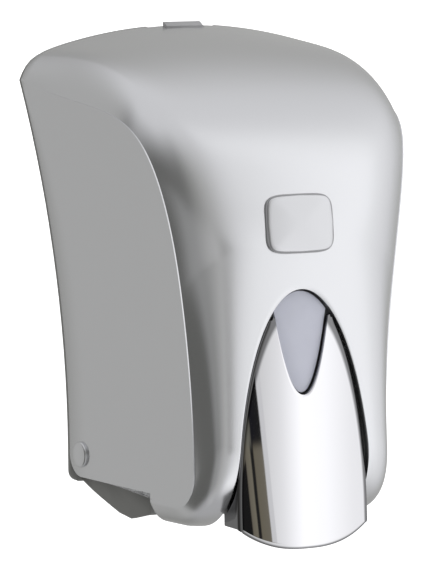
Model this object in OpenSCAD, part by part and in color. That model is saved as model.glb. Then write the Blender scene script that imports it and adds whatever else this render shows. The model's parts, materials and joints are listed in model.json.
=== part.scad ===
// Wall soap foam dispenser: a hinged silver cover with a push lever, over a tank and a foam pump.
// Millimetres. X runs to the right seen from the front, the front faces -Y, Z is up.
// The wall plane is y = 0. A depth is measured from the wall towards the front, so y = -depth.

/* [Cover outline] */
// width across the lower part of the sides, at the wall
side_w = 103; // [90:1:120]
// width across the upper corners, at the wall
top_w = 141.4; // [125:0.2:160]
// height above which the sides flare
flare_z = -59.4; // [-70:0.1:-45]
// how much each side leans in per millimetre of depth
side_taper = 0.0966; // [0.06:0.0002:0.13]
// height of the upper corners at the wall
corner_z = 90; // [80:0.5:98]
// height of the top of the cover at the wall
top_z = 110.8; // [104:0.1:118]
// depth of the front face at mid height
front_d = 109.4; // [100:0.1:120]
// forward lean of the front face per millimetre of drop
front_lean = 0.04; // [0:0.005:0.06]
// depth of the side crease at mid height
crease_d = 98; // [90:0.5:104]
// height of the underside of the cover
bottom_z = -83; // [-90:0.5:-78]
// height of the lower run of the side crease
crease_low = -73.6; // [-77:0.1:-72]
// wall thickness of the cover
cover_wall = 2.8; // [2.2:0.1:3.4]
// depth of the rear edge of the cover's underside
under_d = 66; // [63:0.5:72]

/* [Wall base] */
// thickness of the back plate
plate_t = 2.5; // [2:0.1:4]
// gap between the back plate and the rear edge of the cover
rear_gap = 0.3; // [0.2:0.05:1]
// lowest point of the back plate
plate_low = -74; // [-78:0.5:-71]
// how far the outline of the back plate stands in from that of the cover
plate_inset = 0.7; // [0.3:0.1:1.2]
// thickness of the two cheeks
cheek_t = 3; // [2:0.1:4]
// gap between a cheek and the inside of the cover
cheek_gap = 0.6; // [0.4:0.05:1.5]
// depth of the cross wall that carries the pump bracket
cross_d = 46.5; // [40:0.5:50]
// radius of the wall screw holes
screw_hole_r = 2.25; // [1.8:0.05:3]
// spacing of the wall screw holes from side to side
screw_x = 64; // [50:1:72]
// spacing of the wall screw holes from bottom to top
screw_z = 60; // [48:1:66]

/* [Cover hinge] */
// depth of the hinge axis
hinge_d = 12; // [11:0.1:14]
// height of the hinge axis
hinge_z = -61; // [-64:0.5:-58]
// radius of the hinge pins
pin_r = 2.5; // [2:0.1:3]
// radius of the round boss on the side of the cover, over the hinge
boss_r = 5.2; // [4.5:0.1:6]
// how far that boss stands out
boss_t = 1.1; // [0.6:0.1:1.6]
// running clearance of pins and shafts, on the radius
run_gap = 0.05; // [0.02:0.01:0.1]

/* [Lever] */
// width of the cut-out that the lever fills
arch_w = 58; // [52:0.5:64]
// height of the top of the cut-out
arch_top = 11.4; // [6:0.1:16]
// height where the cut-out is widest
arch_mid = -75; // [-78:0.5:-70]
// gap between the lever and the cut-out
lever_gap = 0.8; // [0.5:0.1:1.5]
// wall thickness of the lever
lever_wall = 2; // [1.6:0.1:3]
// radius of the lever's front face seen from above
lever_r = 150; // [120:5:220]
// how far the lever's face stands back from the front face at its middle
lever_back = 0; // [-1:0.1:2]
// lowest point of the lever
lever_low = -89; // [-94:0.5:-86]
// lowest point of the notch over the window
notch_low = -29.4; // [-34:0.1:-24]
// half the width of the notch at the tips of the lever
notch_w = 11.4; // [9:0.1:11.8]
// height of the two tips of the lever
horn_z = 1; // [0:0.1:2]
// radius of the lever shaft
shaft_r = 2; // [1.6:0.1:2.4]
// height of the lever shaft
shaft_z = -8; // [-9.5:0.1:-7]
// how far the lever shaft lies behind the front face
shaft_back = 11.4; // [10.8:0.1:12]

/* [Window and badge] */
// thickness of the level window
window_t = 2; // [1.5:0.1:2.4]
// gap between the window and the inside of the cover
window_gap = 1.4; // [1.2:0.05:2]
// gap round the lens of the window
lens_gap = 0.8; // [0.5:0.1:1.2]
// how far the lens stands back from the front face
lens_back = 2; // [1:0.1:3]
// width of the badge
badge_w = 29; // [24:0.5:34]
// height of the badge
badge_h = 23; // [18:0.5:26]
// height of the middle of the badge
badge_z = 36.6; // [30:0.1:40]
// rise of the domed badge over its plate
badge_rise = 1.2; // [0.8:0.1:2]

/* [Tank] */
// height of the tank's floor
tank_low = -20; // [-24:0.5:-18]
// height of the tank's top
tank_top = 78; // [70:0.5:80]
// wall thickness of the tank
tank_wall = 1.6; // [1.2:0.1:2.4]
// distance of the tank's front behind the front face
tank_back = 27.4; // [25:0.2:32]
// depth of the tank's rear
tank_rear = 10; // [9.5:0.5:14]
// width of the filling opening
fill_w = 56; // [40:1:60]
// depth of the filling opening from front to rear
fill_d = 34; // [24:1:36]

/* [Pump] */
// distance of the pump axis behind the lever shaft
pump_back = 26; // [25:0.5:28]
// outer radius of the tank's neck
neck_r = 14; // [12:0.5:14.5]
// inner radius of the air cylinder
cylinder_r = 11.5; // [10:0.1:11.5]
// outer radius of the foam nozzle's collar
collar_r = 12; // [10:0.5:12.5]
// travel of the pump
pump_travel = 8; // [6:0.5:8]
// radius of the pins that the lever lifts
lift_r = 2; // [1.6:0.1:2.2]
// wire radius of the springs
wire_r = 0.4; // [0.3:0.05:0.5]

/* [Latch] */
// width of the latch button
latch_w = 16.4; // [12:0.2:18]
// thickness of the latch button
latch_t = 3.8; // [3:0.1:4]
// travel of the latch button
latch_travel = 3; // [2:0.1:3.5]
// width of the notch in the cover around the latch button
latch_notch = 30; // [26:0.5:36]

/* [Node] */
// the sub-part to draw

/* [Hidden] */
$fn = 64;

// numbers of steps along and across the cover's surface
n_low = 3;
n_turn = 7;
n_front = 6;
n_top = 18;
n_rows = n_low + n_turn + n_front + n_top;
n_across = 22;
n_side = 4;
n_cols = 2 * (n_side + 1) + n_across - 1;

rear_d = plate_t + rear_gap;
flare = (top_w - side_w) / 2 / pow(corner_z - flare_z, 2);
hinge_reach = hinge_d - rear_d;
side_lean = atan(side_taper);
pin_end = 1.6;
panel_low = hinge_z - hinge_reach;

// upper curve of the crease and of the middle line, as control offsets
crease_z0 = corner_z - 78;
crease_lean = 0.0158;
crease_r = 14;
crease_turn_z = crease_low + crease_r;
crease_turn_d = crease_d - crease_lean * crease_turn_z - crease_r;
mid_z0 = top_z - 82.5;
mid_turn_d = 36;
mid_turn_z = 34;
mid_low_z = bottom_z + mid_turn_z;
mid_low_d = front_d - front_lean * mid_low_z - mid_turn_d;

function side_x(d, z) = side_w / 2 + flare * pow(max(z - flare_z, 0), 2) - side_taper * d;
function front_at(z) = front_d - front_lean * z;
function bez(a, b, c, e, t) =
  pow(1 - t, 3) * a + 3 * pow(1 - t, 2) * t * b + 3 * (1 - t) * t * t * c + pow(t, 3) * e;

// side crease as depth and height, from the underside's rear edge round the front to the top's rear edge
crease = concat(
  [for (i = [0 : n_low - 1]) [under_d + (crease_turn_d - under_d) * i / n_low, crease_low]],
  [for (i = [0 : n_turn - 1]) let (a = -90 + 90 * i / n_turn)
    [crease_turn_d + crease_r * cos(a), crease_turn_z + crease_r * sin(a)]],
  [for (i = [0 : n_front - 1]) let (z = crease_turn_z + (crease_z0 - crease_turn_z) * i / n_front)
    [crease_d - crease_lean * z, z]],
  [for (i = [0 : n_top]) bez([crease_d - crease_lean * crease_z0, crease_z0],
    [crease_d - crease_lean * (crease_z0 + 82), crease_z0 + 82],
    [crease_d * 0.77, corner_z - 17], [rear_d, corner_z], i / n_top)]);

// middle line of the cover as depth and height, in the same steps
middle = concat(
  [for (i = [0 : n_low - 1]) [under_d + (mid_low_d - under_d) * i / n_low, bottom_z]],
  [for (i = [0 : n_turn - 1]) let (a = -90 + 90 * i / n_turn)
    [mid_low_d + mid_turn_d * cos(a), mid_low_z + mid_turn_z * sin(a)]],
  [for (i = [0 : n_front - 1]) let (z = mid_low_z + (mid_z0 - mid_low_z) * i / n_front) [front_at(z), z]],
  [for (i = [0 : n_top]) bez([front_at(mid_z0), mid_z0], [front_at(mid_z0 + 66.5), mid_z0 + 66.5],
    [front_d * 0.5, top_z - 9.4], [rear_d, top_z], i / n_top)]);

// free edge of the side panel: along its underside, round the hinge, then up the wall
edge = concat(
  [for (i = [0 : n_low + n_turn - 1]) [under_d + (hinge_d - under_d) * i / (n_low + n_turn), panel_low]],
  [for (i = [0 : n_front - 1]) let (a = -90 - 90 * i / n_front)
    [hinge_d + hinge_reach * cos(a), hinge_z + hinge_reach * sin(a)]],
  [for (i = [0 : n_top]) [rear_d, hinge_z + (corner_z - 3 - hinge_z) * i / n_top]]);

// roundness of the cover from side to side at each step, fuller up the front and over the top
function rise_at(i) =
  i < n_rows - n_top ? max(i - n_low - n_turn, 0) / n_front : 1 + (i - n_rows + n_top) / n_top;
function crown(u, i) =
  let (w = rise_at(i), s = max(w - 1, 0))
  let (k = 0.93 - 0.08 * (w - s) - 0.45 * pow(s, 5), p = 14 - 7 * (w - s) + 13 * s)
  1 - k * pow(abs(u), p) - (1 - k) * u * u;
function inward(c, i) =
  let (a = c[max(i - 1, 0)], b = c[min(i + 1, n_rows)], t = (b - a) / norm(b - a)) [-t[1], t[0]];
function shrink(c, s) = [for (i = [0 : n_rows]) let (p = c[i] + s * inward(c, i))
  [i == n_rows ? rear_d : i == 0 ? under_d : max(p[0], rear_d), p[1]]];

// one sheet of the cover's wall, as rows of points from the left edge to the right edge
function sheet(cr, md, s) = [for (i = [0 : n_rows])
  let (half = side_x(cr[i][0], cr[i][1]) - s)
  each concat(
    [for (j = [0 : n_side]) let (q = edge[i] + (cr[i] - edge[i]) * j / n_side)
      [-(side_x(q[0], q[1]) - s), -q[0], q[1]]],
    [for (j = [1 : n_across - 1]) let (u = sin(90 * (2 * j / n_across - 1)), g = crown(u, i))
      [half * u, -(cr[i][0] + (md[i][0] - cr[i][0]) * g), cr[i][1] + (md[i][1] - cr[i][1]) * g]],
    [for (j = [n_side : -1 : 0]) let (q = edge[i] + (cr[i] - edge[i]) * j / n_side)
      [side_x(q[0], q[1]) - s, -q[0], q[1]]])];

outer_sheet = sheet(crease, middle, 0);
inner_sheet = sheet(shrink(crease, cover_wall * 0.7), shrink(middle, cover_wall), cover_wall);

shell_faces =
  let (n = n_cols, k = (n_rows + 1) * n_cols)
  concat(
    [for (i = [0 : n_rows - 1], j = [0 : n - 2]) let (a = i * n + j, b = a + 1, c = b + n, d = a + n)
      each [[a, d, c], [a, c, b], [k + a, k + c, k + d], [k + a, k + b, k + c]]],
    [for (j = [0 : n - 2]) let (a = j, b = j + 1, d = n_rows * n + j, c = d + 1)
      each [[a, b, k + b], [a, k + b, k + a], [c, d, k + d], [c, k + d, k + c]]],
    [for (i = [0 : n_rows - 1]) let (a = i * n, d = a + n, b = a + n - 1, c = b + n)
      each [[d, a, k + a], [d, k + a, k + d], [b, c, k + c], [b, k + c, k + b]]]);

// places inside the cover
shaft_d = front_d - shaft_back;
pump_d = shaft_d - pump_back;
tank_front = front_d - tank_back;
lug_x = 22;
lug_t = 3;
ear_x = 14;
ear_t = 3;
window_d = front_d - cover_wall - window_gap;
face_angle = atan(front_lean);
front_line = [for (i = [n_low + n_turn : n_rows]) [middle[i][1], middle[i][0]]];
badge_d = lookup(badge_z, front_line);
badge_drop = lookup(badge_z - badge_h / 2, front_line) - lookup(badge_z + badge_h / 2, front_line);
badge_lean = atan(badge_drop / badge_h);
window_rim = 3;
window_slant = 0.145;
window_screw_x = 20;
window_screw_z = arch_top - 3;
window_screw_r = 1;

// lever outline
lever_half = arch_w / 2 - lever_gap;
lever_rise = arch_top - arch_mid - lever_gap;
lever_turn_z = -80;
flange_d = front_d - 15;
flange_top = -17;
lift_x = 21;
arm_x = 16.5;
arm_t = 3.6;

// pump stations, from the tank down
neck_low = tank_low - 8;
seal_t = 1.2;
flange_t = 2;
head_z = neck_low - seal_t;
barrel_z = head_z - flange_t;
barrel_t = 1.5;
cap_t = 2;
dose_r = 3.4;
dose_wall = 1.6;
stem_r = 4.5;
ball_r = 2;
seat_r = 1.4;
ball_z = barrel_z - sqrt(ball_r * ball_r - seat_r * seat_r) - 0.95;
cage_z = ball_z - ball_r - 0.8;
piston_top = cage_z - 2 * pump_travel - 1.1;
piston_t = 3.2;
dose_low = piston_top + pump_travel + 0.3;
rod_top = dose_low + 0.5;
barrel_low = piston_top - piston_t - 0.3;
collar_top = barrel_low - cap_t - 0.5 - pump_travel;
lift_z = collar_top - 2.5;
collar_low = lift_z - 3;
nozzle_low = lift_z - 16;
nut_r = neck_r + 3;
nut_low = barrel_z - 2;

// latch stations
latch_d = 4.2;
guide_d = latch_d + latch_t + 0.4;
latch_low = tank_top + 6;
latch_seat = latch_low - latch_travel - 9.5;
latch_head = top_z + 1.2;
tooth_z = 97.2;
rib_low = tooth_z + 0.6;
rib_d = guide_d + 0.6;

module along_y(d0, d1) {
  translate([0, -d0, 0]) rotate([90, 0, 0]) linear_extrude(d1 - d0) children();
}

module along_x(x0, x1) {
  translate([x0, 0, 0]) rotate([90, 0, -90]) mirror([0, 0, 1]) linear_extrude(x1 - x0) children();
}

module rod_x(x0, x1, d, z, r) {
  translate([x0, -d, z]) rotate([0, 90, 0]) cylinder(r = r, h = x1 - x0);
}

module rod_y(x, z, d0, d1, r) {
  translate([x, -d0, z]) rotate([90, 0, 0]) cylinder(r = r, h = d1 - d0);
}

module both() {
  children();
  mirror([1, 0, 0]) children();
}

module block(x0, x1, d0, d1, z0, z1) {
  translate([x0, -d1, z0]) cube([x1 - x0, d1 - d0, z1 - z0]);
}

// spring wire wound about the Z axis from the origin upwards
module coil(r, wire, h, turns) {
  steps = 16;
  sides = 6;
  n = round(turns * steps);
  pts = [for (i = [0 : n], j = [0 : sides - 1])
    let (a = 360 * i / steps, b = 360 * j / sides, q = r + wire * cos(b))
    [q * cos(a), q * sin(a), wire + (h - 2 * wire) * i / n + wire * sin(b)]];
  ring = [for (i = [0 : n - 1], j = [0 : sides - 1])
    let (a = i * sides + j, b = i * sides + (j + 1) % sides)
    each [[a, b, b + sides], [a, b + sides, a + sides]]];
  polyhedron(pts, concat(ring, [[for (j = [sides - 1 : -1 : 0]) j]],
    [[for (j = [0 : sides - 1]) n * sides + j]]));
}

// back plate outline, as width and height
module plate_outline() {
  n = 16;
  low = plate_low;
  r = 5;
  right = concat(
    [for (a = [-90 : 15 : 0]) [side_w / 2 - r + r * cos(a), low + r + r * sin(a)]],
    [for (i = [1 : n]) let (z = low + r + (corner_z - low - r) * i / n) [side_x(0, z), z]],
    [for (i = [n - 1 : -1 : 0]) let (u = sin(90 * i / n))
      [top_w / 2 * u, corner_z + (top_z - corner_z) * crown(u, n_rows)]]);
  left = [for (i = [len(right) - 2 : -1 : 0]) [-right[i][0], right[i][1]]];
  offset(delta = -plate_inset) polygon(concat(right, left));
}

module arch_outline(half, rise, low) {
  polygon(concat([[half, low]], [for (i = [0 : 40]) let (a = 180 * i / 40)
    [half * cos(a), arch_mid + rise * sin(a)]], [[-half, low]]));
}

module cheek_outline() {
  polygon([[plate_t - 0.5, tank_low], [cross_d + 6, tank_low], [under_d - 6, hinge_z + 8],
    [under_d - 6, bottom_z + 3.4], [44, bottom_z - 0.4], [34.5, bottom_z + 0.8],
    [plate_t - 0.5, plate_low + 1]]);
}

// space below the hinge that the side panel sweeps as the cover swings open
module panel_sweep() {
  wide = side_w / 2 - cover_wall - cheek_gap - 0.15 - side_taper * hinge_d;
  far = 80;
  difference() {
    block(wide - side_taper * far + 2, side_w, plate_t + 0.2, far, bottom_z - 20, hinge_z + 1);
    translate([wide - side_taper * far, -hinge_d, hinge_z]) rotate([0, 90, 0])
      cylinder(r1 = far, r2 = 0, h = side_taper * far, $fn = 180);
  }
}

// distance of the middle of a cheek from the middle plane
function cheek_x(d) = side_w / 2 - cover_wall - cheek_gap - cheek_t / 2 - side_taper * d;

module cheek() {
  outer = side_w / 2 - cover_wall - cheek_gap;
  difference() {
    translate([outer, 0, 0]) rotate([0, 0, -atan(side_taper)]) along_x(-cheek_t, 0) cheek_outline();
    rod_x(0, side_w, hinge_d, hinge_z, pin_r);
    panel_sweep();
  }
}

module wall_base() {
  color("#4a4b4b") {
    difference() {
      union() {
        along_y(0, plate_t) plate_outline();
        both() cheek();
        intersection() {
          union() {
            block(-60, 60, cross_d - 2.5, cross_d, bottom_z + 1.5, tank_low - 0.5);
            along_x(-60, 60) polygon([[plate_t - 0.5, plate_low + 2], [34.5, bottom_z + 1.8],
              [cross_d, bottom_z + 0.8], [cross_d, bottom_z + 3], [34.5, bottom_z + 4],
              [plate_t - 0.5, plate_low + 4.2]]);
          }
          translate([0, 0, bottom_z - 5]) linear_extrude(100)
            polygon([[-cheek_x(0), 0], [cheek_x(0), 0], [cheek_x(60), -60], [-cheek_x(60), -60]]);
        }
        both() block(latch_w / 2 + 0.3, latch_w / 2 + 3, plate_t - 0.5, guide_d, 80, 103);
        both() block(latch_w / 2 - 1.2, latch_w / 2 + 3, guide_d, guide_d + 1.5, 80, 103);
        block(-latch_w / 2 - 3, latch_w / 2 + 3, plate_t - 0.5, guide_d, latch_seat - 2.5, latch_seat);
      }
      for (x = [-1, 1], z = [-1, 1])
        rod_y(x * screw_x / 2, 25 + z * screw_z / 2, -1, plate_t + 1, screw_hole_r);
      for (x = [-1, 1])
        rod_y(x * 20, lift_z + 20, cross_d - 4, cross_d + 1, 1.5);
    }
  }
}

module hinge_pins() {
  outer = side_x(hinge_d, hinge_z);
  color("#9a9ca0")
    both() rod_x(outer - cover_wall - cheek_gap - cheek_t - 3, outer - pin_end,
      hinge_d, hinge_z, pin_r);
}

module front_cover() {
  outer = side_x(hinge_d, hinge_z);
  color("#b9bbbe")
    difference() {
      union() {
        difference() {
          polyhedron(concat(outer_sheet, inner_sheet), shell_faces);
          along_y(under_d - 8, front_d + 30) arch_outline(arch_w / 2, arch_top - arch_mid, bottom_z - 30);
        }
        both() block(lug_x, lug_x + lug_t, shaft_d - 5, front_at(shaft_z) - 2.2, shaft_z - 5, shaft_z + 6);
        block(-6, 6, rib_d, rib_d + 2.5, rib_low, top_z - 3.2);
        both() translate([outer, -hinge_d, hinge_z]) rotate([0, 90, -side_lean]) {
          translate([0, 0, -1]) cylinder(r = boss_r, h = boss_t + 0.6);
          translate([0, 0, boss_t - 0.4]) cylinder(r1 = boss_r, r2 = boss_r - 0.4, h = 0.4);
        }
      }
      block(-latch_w / 2 - 0.4, latch_w / 2 + 0.4, 0, rib_d - 0.2, top_z - 20, top_z + 10);
      block(-latch_notch / 2, latch_notch / 2, 0, latch_d + 0.3, top_z - 20, top_z + 10);
      rod_x(-40, 40, shaft_d, shaft_z, shaft_r);
      both() rod_x(outer - cover_wall - 2, outer - pin_end + 0.1, hinge_d, hinge_z, pin_r + run_gap);
      both() rod_y(window_screw_x, window_screw_z, front_d - 20, front_d - 2.3, window_screw_r);
    }
}

module lens_outline() {
  offset(delta = -lens_gap) intersection() {
    arch_outline(arch_w / 2, arch_top - arch_mid, bottom_z);
    notch_outline();
  }
}

// the window's lower part slants back, clear of the swing of the lever, and its lens fills the notch
module level_window() {
  top = arch_top + window_rim;
  low = notch_low - 8;
  bend = notch_low / 6;
  front = window_d - front_lean * bend;
  back = front - window_slant * (bend - low + 2);
  color("#b9bcc8")
    difference() {
      union() {
        intersection() {
          along_x(-30, 30) polygon([[window_d - front_lean * (top + 2), top + 2], [front, bend],
            [back, low - 2], [back - window_t, low - 2], [front - window_t, bend],
            [window_d - window_t - front_lean * (top + 2), top + 2]]);
          along_y(front_d - 40, front_d + 20) polygon([[-9.6, low + 3], [-6, low], [6, low],
            [9.6, low + 3], [12.6, low + 12], [12.6, -1.2], [24, -0.4], [24, top - 4], [16, top], [-16, top],
            [-24, top - 4], [-24, -0.4], [-12.6, -1.2], [-12.6, low + 12]]);
        }
        intersection() {
          along_x(-30, 30) polygon([[window_d - 0.9 - front_lean * top, top], [front - 0.9, bend],
            [back - 0.9, low - 2], [front_at(low - 2) - lens_back, low - 2],
            [front_at(top) - lens_back, top]]);
          along_y(front_d - 40, front_d + 20) lens_outline();
        }
      }
      both() rod_y(window_screw_x, window_screw_z, front_d - 40, front_d + 20, window_screw_r + 0.3);
    }
}

module window_screws() {
  color("#85878a")
    both() {
      rod_y(window_screw_x, window_screw_z, window_d - window_t - 1, front_d - 2.4, window_screw_r);
      rod_y(window_screw_x, window_screw_z, window_d - window_t - 2, window_d - window_t - 0.45, 2);
    }
}

module badge_outline(w, h) {
  n = 12;
  polygon([for (s = [[1, 1], [-1, 1], [-1, -1], [1, -1]])
    let (sw = s[0] * s[1] > 0)
    each [for (i = [0 : n])
      let (t = i / n, a = sw ? 90 * t : 90 - 90 * t)
      [s[0] * (w / 2 * pow(cos(a), 0.42)), s[1] * (h / 2 * pow(sin(a), 0.42))]]]);
}

// the rear of the plate follows the cover
module badge_plate() {
  color("#5a5c60")
    difference() {
      translate([0, -badge_d, badge_z]) rotate([-badge_lean, 0, 0]) translate([0, 2, 0])
        rotate([90, 0, 0]) linear_extrude(2.6) badge_outline(badge_w, badge_h);
      polyhedron(concat(outer_sheet, inner_sheet), shell_faces);
    }
}

module badge_dome() {
  w = badge_w - 1.2;
  h = badge_h - 1.2;
  rx = (pow(w / 2, 2) + pow(badge_rise, 2)) / (2 * badge_rise);
  color("#dfe1e4")
    translate([0, -badge_d, badge_z]) rotate([-badge_lean, 0, 0]) translate([0, -0.6, 0])
      intersection() {
        rotate([90, 0, 0]) linear_extrude(badge_rise + 1) badge_outline(w, h);
        translate([0, rx - badge_rise - 0.4, 0]) sphere(r = rx, $fn = 480);
        block(-w, w, 0, badge_rise + 1, -h, h);
      }
}

module lever_face(r) {
  translate([0, -(front_at(lever_turn_z) - lever_back) + lever_r, lever_turn_z]) rotate([-face_angle, 0, 0])
    translate([0, 0, -30]) cylinder(r = r, h = 140, $fn = 256);
}

module notch_outline() {
  polygon(concat(
    [for (i = [-20 : 20]) let (u = i / 20) [notch_w * u, notch_low * (1 - pow(abs(u), 2.2))]],
    [[notch_w + 4, 20], [-notch_w - 4, 20]]));
}

module lever_outline() {
  difference() {
    intersection() {
      arch_outline(lever_half, lever_rise, lever_low - 10);
      union() {
        translate([-60, lever_turn_z]) square([120, 100]);
        polygon([for (i = [0 : 24]) let (u = -1 + 2 * i / 24)
          [lever_half * u, lever_turn_z + 0.01 - (lever_turn_z - lever_low) * (1 - pow(abs(u), 2.6))]]);
      }
    }
    notch_outline();
    translate([-60, horn_z]) square([120, 40]);
  }
}

// depth just inside the lever's front wall
function face_in(x, z) =
  front_at(z) - lever_back - lever_r + sqrt(lever_r * lever_r - x * x) - lever_wall + 0.9;

module push_lever() {
  color("#d8dadd")
    difference() {
      union() {
        intersection() {
          along_y(flange_d - 10, front_d + 20) lever_outline();
          difference() {
            lever_face(lever_r);
            lever_face(lever_r - lever_wall);
          }
        }
        intersection() {
          along_y(flange_d, front_d + 20) difference() {
            arch_outline(lever_half, lever_rise, lever_low - 10);
            arch_outline(lever_half - lever_wall, lever_rise - 3, lever_low - 12);
            translate([-60, flange_top]) square([120, 60]);
            translate([-60, lever_turn_z - 40]) square([120, 40]);
          }
          lever_face(lever_r - 0.2);
        }
        both() along_x(ear_x, ear_x + ear_t) polygon([[shaft_d - 4.5, shaft_z - 2],
          [shaft_d - 2, shaft_z - 5], [shaft_d + 4, shaft_z - 12], [face_in(ear_x, shaft_z), shaft_z - 12],
          [face_in(ear_x, shaft_z), shaft_z - 6], [shaft_d + 4, shaft_z + 3.4],
          [shaft_d - 3, shaft_z + 3.4]]);
        both() along_x(arm_x, arm_x + arm_t) polygon([[pump_d - 2.6, arm_z(-2.6)], [pump_d + 15, arm_z(15)],
          [face_in(arm_x, lift_z), arm_z(15) + 3], [face_in(arm_x, lift_z), lift_z - 8.5],
          [pump_d - 2.6, lift_z - 8.5]]);
      }
      rod_x(-30, 30, shaft_d, shaft_z, shaft_r + run_gap);
    }
}

// height of the ramp that lifts the pump, at a distance in front of the pump axis
function arm_z(x) = lift_z - lift_r - 0.82 + 0.33 * x;

module lever_shaft() {
  color("#a7a9ac") rod_x(-lug_x - lug_t - 1.6, lug_x + lug_t + 1.6, shaft_d, shaft_z, shaft_r);
}

module shaft_rings() {
  color("#8b8d90")
    both() difference() {
      rod_x(lug_x + lug_t + 0.2, lug_x + lug_t + 1, shaft_d, shaft_z, shaft_r + 1.6);
      rod_x(lug_x + lug_t, lug_x + lug_t + 2, shaft_d, shaft_z, shaft_r);
    }
}

module lever_springs() {
  color("#9d9fa2")
    both() translate([ear_x + ear_t + 0.6, -shaft_d, shaft_z]) rotate([0, 90, 0])
      coil(shaft_r + 1.2, wire_r, lug_x - ear_x - ear_t - 1.2, 4);
}

module latch_button() {
  color("#a9abae")
    union() {
      difference() {
        block(-latch_w / 2, latch_w / 2, latch_d, latch_d + latch_t, latch_low, latch_head);
        along_x(-latch_w, latch_w) polygon([[latch_d + 0.6, latch_head + 5], [latch_d + 0.6, latch_head],
          [latch_d + latch_t + 1, latch_head - 2.1], [latch_d + latch_t + 1, latch_head + 5]]);
      }
      block(-4, 4, latch_d + latch_t - 1, rib_d + 6, tooth_z - 8, tooth_z - 4);
      block(-4, 4, rib_d + 3.5, rib_d + 6, tooth_z - 5, tooth_z);
      translate([0, -latch_d - latch_t / 2, latch_low - 4]) cylinder(r = 1, h = 5);
    }
}

module latch_spring() {
  color("#9d9fa2")
    translate([0, -latch_d - latch_t / 2, latch_seat]) coil(1.6, wire_r * 0.75, latch_low - latch_seat, 9);
}

function tank_x(d) = side_w / 2 - cover_wall - 2.4 - side_taper * d;

module tank_plan(s) {
  r = 5;
  d0 = tank_rear + s + r;
  d1 = tank_front - s - r;
  polygon([for (c = [[1, d0, -90], [1, d1, 0], [-1, d1, 90], [-1, d0, 180]])
    let (x = c[0] * (tank_x(c[1]) - s - r))
    each [for (i = [0 : 8]) let (a = c[2] - 90 + 90 * i / 8 + 90)
      [x + r * cos(a), -(c[1] + r * sin(a))]]]);
}

module tank_body(s) {
  intersection() {
    translate([0, 0, tank_low + s]) linear_extrude(tank_top - tank_low - 2 * s) tank_plan(s);
    along_x(-80, 80) polygon([[0, tank_low - 1], [tank_front + 5, tank_low - 1],
      [tank_front + 5, tank_top - 30 - s],
      [tank_front - 24 - s, tank_top + 1], [0, tank_top + 1]]);
  }
}

fill_mid = tank_rear + 9 + fill_d / 2;

module soap_tank() {
  color("#e9ecee")
    difference() {
      union() {
        tank_body(0);
        translate([0, -pump_d, neck_low]) cylinder(r = neck_r, h = 9);
      }
      tank_body(tank_wall);
      translate([0, -pump_d, neck_low - 1]) cylinder(r = neck_r - 2.5, h = 14);
      block(-fill_w / 2, fill_w / 2, fill_mid - fill_d / 2, fill_mid + fill_d / 2,
        tank_top - 5, tank_top + 1);
    }
}

module tank_lid() {
  x = fill_w / 2;
  d = fill_d / 2;
  color("#cfd3d6")
    difference() {
      union() {
        block(-x - 3, x + 3, fill_mid - d - 3, fill_mid + d + 3, tank_top + 1, tank_top + 3.4);
        block(-x + 0.3, x - 0.3, fill_mid - d + 0.3, fill_mid + d - 0.3, tank_top - 4, tank_top + 2);
      }
      block(-x + 2, x - 2, fill_mid - d + 2, fill_mid + d - 2, tank_top - 5, tank_top + 1.4);
    }
}

module lid_seal() {
  x = fill_w / 2;
  d = fill_d / 2;
  color("#3d3f41")
    difference() {
      block(-x - 2.4, x + 2.4, fill_mid - d - 2.4, fill_mid + d + 2.4, tank_top, tank_top + 1);
      block(-x + 0.2, x - 0.2, fill_mid - d + 0.2, fill_mid + d - 0.2, tank_top - 1, tank_top + 2);
    }
}

module pump_bracket() {
  ring_top = nut_low;
  ring_low = nut_low - 3.4;
  r = cylinder_r + barrel_t + 0.4;
  color("#56585a")
    difference() {
      union() {
        block(-26, 26, cross_d, cross_d + 3, lift_z + 14, ring_top);
        translate([0, -pump_d, ring_low]) cylinder(r = r + 4.6, h = 3.4);
        block(-r - 4.6, r + 4.6, cross_d, pump_d, ring_low, ring_top);
        both() along_x(r + 1.6, r + 4.6) polygon([[cross_d, ring_low - 10], [cross_d + 3, ring_low - 10],
          [pump_d - 6, ring_low], [pump_d - 6, ring_low + 1], [cross_d, ring_low + 1]]);
      }
      translate([0, -pump_d, ring_low - 30]) cylinder(r = r, h = 60);
      for (x = [-1, 1])
        rod_y(x * 20, lift_z + 20, cross_d - 1, cross_d + 4, 1.7);
    }
}

module bracket_screws() {
  color("#85878a")
    both() {
      rod_y(20, lift_z + 20, cross_d - 2.3, cross_d + 4, 1.5);
      rod_y(20, lift_z + 20, cross_d + 3, cross_d + 5, 2.9);
    }
}

module tube(r0, r1, z0, z1) {
  translate([0, -pump_d, z0]) difference() {
    cylinder(r = r1, h = z1 - z0);
    translate([0, 0, -1]) cylinder(r = r0, h = z1 - z0 + 2);
  }
}

module pump_collar() {
  color("#d5d8da")
    difference() {
      translate([0, -pump_d, nut_low]) cylinder(r = nut_r, h = tank_low - 0.8 - nut_low);
      translate([0, -pump_d, nut_low - 1]) cylinder(r = cylinder_r + barrel_t + 0.2, h = 30);
      translate([0, -pump_d, barrel_z]) cylinder(r = neck_r + 1.2, h = neck_low + 0.1 - barrel_z);
      translate([0, -pump_d, neck_low - 1]) cylinder(r = neck_r, h = 30);
      for (i = [0 : 11])
        translate([0, -pump_d, nut_low - 1]) rotate([0, 0, 30 * i]) translate([nut_r + 0.4, 0, 0])
          cylinder(r = 1, h = 30, $fn = 24);
    }
}

module outlet_seal() {
  color("#3d3f41") tube(neck_r - 2.5, neck_r, head_z, neck_low);
}

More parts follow.
